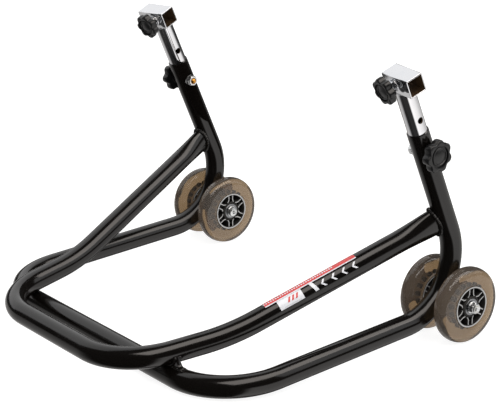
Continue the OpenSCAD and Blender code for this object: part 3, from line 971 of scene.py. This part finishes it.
# %% Knobs
def star(size, share):
    """Radius by angle, with a lobe at 0 degrees and at each seventh of a turn"""
    def radius(angle):
        scallop = (0.5 - 0.5 * math.cos(math.radians(angle * 7))) ** 1.35
        return size * share * (1 - 0.17 * share * scallop)
    return radius


def knob(size, thick, base):
    r = size / 2
    back = [(0, 1.0), (4.1, 1.0), (7.5, 0.0), (9.5, 0.4), (10.5, 1.4)]
    side = [(star(r, share), height) for share, height in (
        (0.88, 1.6), (0.96, 1.9), (0.99, 2.8), (1.0, thick * 0.5), (1.0, thick - 2.6),
        (0.985, thick - 1.4), (0.95, thick - 0.6), (0.90, thick - 0.2), (0.82, thick))]
    face = [(r * share, thick - depth) for share, depth in (
        (0.70, 0.0), (0.67, 0.3), (0.655, 2.6), (0.58, 2.7), (0.56, 1.2), (0.53, 0.7), (0.49, 0.7),
        (0.46, 1.5), (0.43, 1.6), (0.39, 1.2), (0.31, 0.75), (0.21, 0.35), (0.11, 0.08))] + [(0, thick)]
    return painted(loft([(radius, base + z) for radius, z in back + side + face], 112), knob_nylon)


both_sides("height_knob", knob(42, 13, 15.6), HEIGHT_SCREW, "height_screw", "knob_plastic")
both_sides("clamp_knob", knob(36, 11.5, 19.7), CLAMP_SCREW, "clamp_screw", "knob_plastic")

# %% [markdown]
# ### Screws
# The studs are M8. The height screw's tip shows beyond its nut in yellow zinc. The nut's
# flange is cut to the round upright, so its first loops follow the tube's wall.

# %% Screws, washers and the flanged nut
def stud(low, high, finish):
    core = loft([(0, low), (2.2, low), (2.6, low + 0.3), (3.4, low + 1.3), (3.4, high), (0, high)], 32)
    return threaded(painted(core, finish), 4, low + 1.6, (high - low - 2.8) / 1.25, finish)


both_sides("height_stud", stud(-24.5, 24.0, gold_zinc), HEIGHT_SCREW, "height_screw", "yellow_zinc")
both_sides("clamp_stud", stud(10.4, 27.0, zinc), CLAMP_SCREW, "clamp_screw", "zinc_plate")
both_sides("height_washer", painted(washer(8, 4.35, 14.3, 15.3), zinc), HEIGHT_SCREW, "height_carrier",
    "zinc_plate")
both_sides("clamp_washer", painted(washer(8, 4.35, 18.6, 19.4), zinc), CLAMP_SCREW, "clamp_carrier",
    "zinc_plate")


def on_tube(x, y):
    """Depth of the upright's wall below a point of the nut's flange"""
    return -math.sqrt(14.06 ** 2 - y * y)


flange_nut = loft([
    (4.05, on_tube), (7.7, on_tube), (8, lambda x, y: on_tube(x, y) - 0.4), (8, -14.7), (7.6, -15.1),
    (hexagon(13, 7.2), -15.5), (hexagon(13), -16.2), (hexagon(13), -20.9), (hexagon(13, 6.5), -21.5),
    (4.6, -21.5), (4.05, -21.0)])
both_sides("height_nut", painted(flange_nut, zinc), HEIGHT_SCREW, "frame", "zinc_plate")

# %% [markdown]
# ## Studio
# The stand is shown on white paper, as goods are in a catalogue. A gloss black object shows
# little but reflections, so the studio is built from what the tubes should mirror.
#
# The floor is white paper. Light alone would leave it uneven, so it glows a little and only
# contact shadows darken it. Mirrors see the room's glow in its place.

# %% Floor
# Matt paper: pure white behind the stand, with soft grey only where something touches it.
paper = new_finish(
    "matt_white_paper", "#8a8a89", "#868685", 80, (10, 0.8, 0.9), (1.0, 0.02),
    Emission_Strength=0.88, Emission_Color=(1, 1, 1, 1))[0]
reach = 14.0


def staged(name, corners, finish):
    """A flat card with one finish, linked into the scene"""
    mesh = bpy.data.meshes.new(name)
    mesh.from_pydata(corners, [], [tuple(range(len(corners)))])
    mesh.materials.append(finish)
    card = linked(name, mesh)
    return card


corners = [(x * reach, y * reach, 0) for x, y in ((-1, -1), (1, -1), (1, 1), (-1, 1))]
floor = staged("studio_floor", corners, paper)
floor.visible_glossy = False
print("floor", 2 * reach, "m wide")

# %% [markdown]
# ### Room
# The room is plain white to look at and to light by. In mirrors it is dark above the horizon,
# as a studio is behind its lamps, and below it glows like lit paper. Placed cards could do
# this, but a ramp over the bearing is easier to set.

# %% Room
world = bpy.data.worlds.new("studio")
world.use_nodes = True
bpy.context.scene.world = world
tree = world.node_tree
tree.nodes.clear()
where = add(tree, "ShaderNodeTexCoord").outputs["Generated"]
along = add(tree, "ShaderNodeSeparateXYZ", {0: where}).outputs
bearing = add(tree, "ShaderNodeMath", {0: along[1], 1: along[0]}, operation="ARCTAN2")
bearing = add(tree, "ShaderNodeMapRange", {0: bearing, 1: -math.pi, 2: math.pi, 3: 0.0, 4: 1.0})
table = add(tree, "ShaderNodeValToRGB", {0: bearing})
TABLE_GLOW = ((-180, 0.6), (-148, 0.5), (-120, 0.03), (-22, 0.03), (-10, 1.25), (40, 1.0), (80, 0.62),
    (98, 0.7), (108, 0.05), (130, 0.05), (142, 0.6), (180, 0.6))
while len(table.color_ramp.elements) < len(TABLE_GLOW):
    table.color_ramp.elements.new(0.5)
for stop, (degrees, glow) in zip(table.color_ramp.elements, TABLE_GLOW):
    stop.position = (degrees + 180) / 360
    stop.color = (glow, glow * 0.975, glow * 0.955, 1)
below = add(tree, "ShaderNodeMapRange", {0: along[2], 1: -0.11, 2: -0.03, 3: 1.0, 4: 0.0})
seen = add(tree, "ShaderNodeMix", {0: below, 6: (0.03, 0.03, 0.03, 1), 7: table}, data_type="RGBA")
mirrored_room = add(tree, "ShaderNodeBackground", {"Color": seen.outputs[2], "Strength": 1.0})
plain_room = add(tree, "ShaderNodeBackground", {"Color": (1, 1, 1, 1), "Strength": 1.0})
rays = add(tree, "ShaderNodeLightPath").outputs
mirror = add(tree, "ShaderNodeMath", {0: rays["Is Glossy Ray"], 1: rays["Is Transmission Ray"]},
    operation="SUBTRACT", use_clamp=True)
room = add(tree, "ShaderNodeMixShader", {0: mirror, 1: plain_room, 2: mirrored_room})
add(tree, "ShaderNodeOutputWorld", {0: room})
print("glow stops", len(TABLE_GLOW))

# %% [markdown]
# ### Black flag
# A black card beside a shiny thing gives it a dark edge. This one darkens the side of the
# left post and its socket. Only mirrors see it.

# %% Black flag
flag_x = -0.2285
flag_edge = [(0.08, 0.281), (0.17, 0.281), (0.5, 0.23), (0.5, 0.105), (0.225, 0.105), (0.185, 0.185),
    (0.08, 0.21)]
flag_outline = [(flag_x, y, z) for y, z in flag_edge]
# Black velvet: no sheen at all, so its reflection is a clean dark band.
velvet = new_finish("black_velvet", "#050505", "#030303", 20, (5, 0.9, 1.0), (1.0, 0.02))[0]
flag = staged("black_flag", flag_outline, velvet)
for rays_of in ("camera", "diffuse", "transmission", "shadow", "volume_scatter"):
    setattr(flag, "visible_" + rays_of, False)
print("flag corners", len(flag_outline))

# %% [markdown]
# ### Soft boxes
# Three broad lamps draw the long pale highlights on the black tubes. An area light's size
# sets how wide its highlight is. The tyres hide them, as they would sparkle there.

# %% Soft boxes
CENTRE = Vector((0, 0.07, 0.14))
WARM = (1.0, 0.93, 0.87)


def soft_box(name, azimuth, elevation, distance, width, height, glow, tint=(1, 1, 1)):
    """A rectangular lamp aimed at the stand. Glow is its brightness, whatever its size."""
    a, e = math.radians(azimuth), math.radians(elevation)
    back = Vector((math.sin(a) * math.cos(e), -math.cos(a) * math.cos(e), math.sin(e)))
    data = bpy.data.lights.new(name, "AREA")
    data.shape = "RECTANGLE"
    data.size, data.size_y = width, height
    data.energy = glow * math.pi * width * height
    data.color = tint
    lamp = linked(name, data)
    lamp.location = CENTRE + back * distance
    lamp.rotation_mode = "QUATERNION"
    lamp.rotation_quaternion = back.to_track_quat("Z", "Y")
    lamp.visible_camera = False
    lamp.visible_transmission = False


soft_box("overhead_box", 98, 62, 1.9, 3.0, 1.25, 3.3, WARM)
soft_box("left_box", -92, 39, 2.2, 3.2, 2.5, 0.95)
soft_box("right_box", 140, 26, 2.2, 1.8, 1.3, 0.9)
print("lamps", len(bpy.data.lights))

# %% [markdown]
# ### Camera
# A long lens from a high three-quarter view keeps the near and far wheels almost one size.
# The Standard view keeps the white paper white.

# %% Camera
eye = Vector((1.57143, -1.18002, 0.79311))
aim = Vector((0, 0.0727, 0.1425))
lens = bpy.data.cameras.new("camera")
lens.lens, lens.sensor_width = 113.6, 36.0
lens.clip_end = 60
camera = linked("camera", lens)
camera.location = eye
camera.rotation_mode = "QUATERNION"
camera.rotation_quaternion = (aim - eye).to_track_quat("-Z", "Y")
bpy.context.scene.camera = camera
bpy.context.scene.view_settings.view_transform = "Standard"
print("camera is", round((eye - aim).length, 2), "m away")
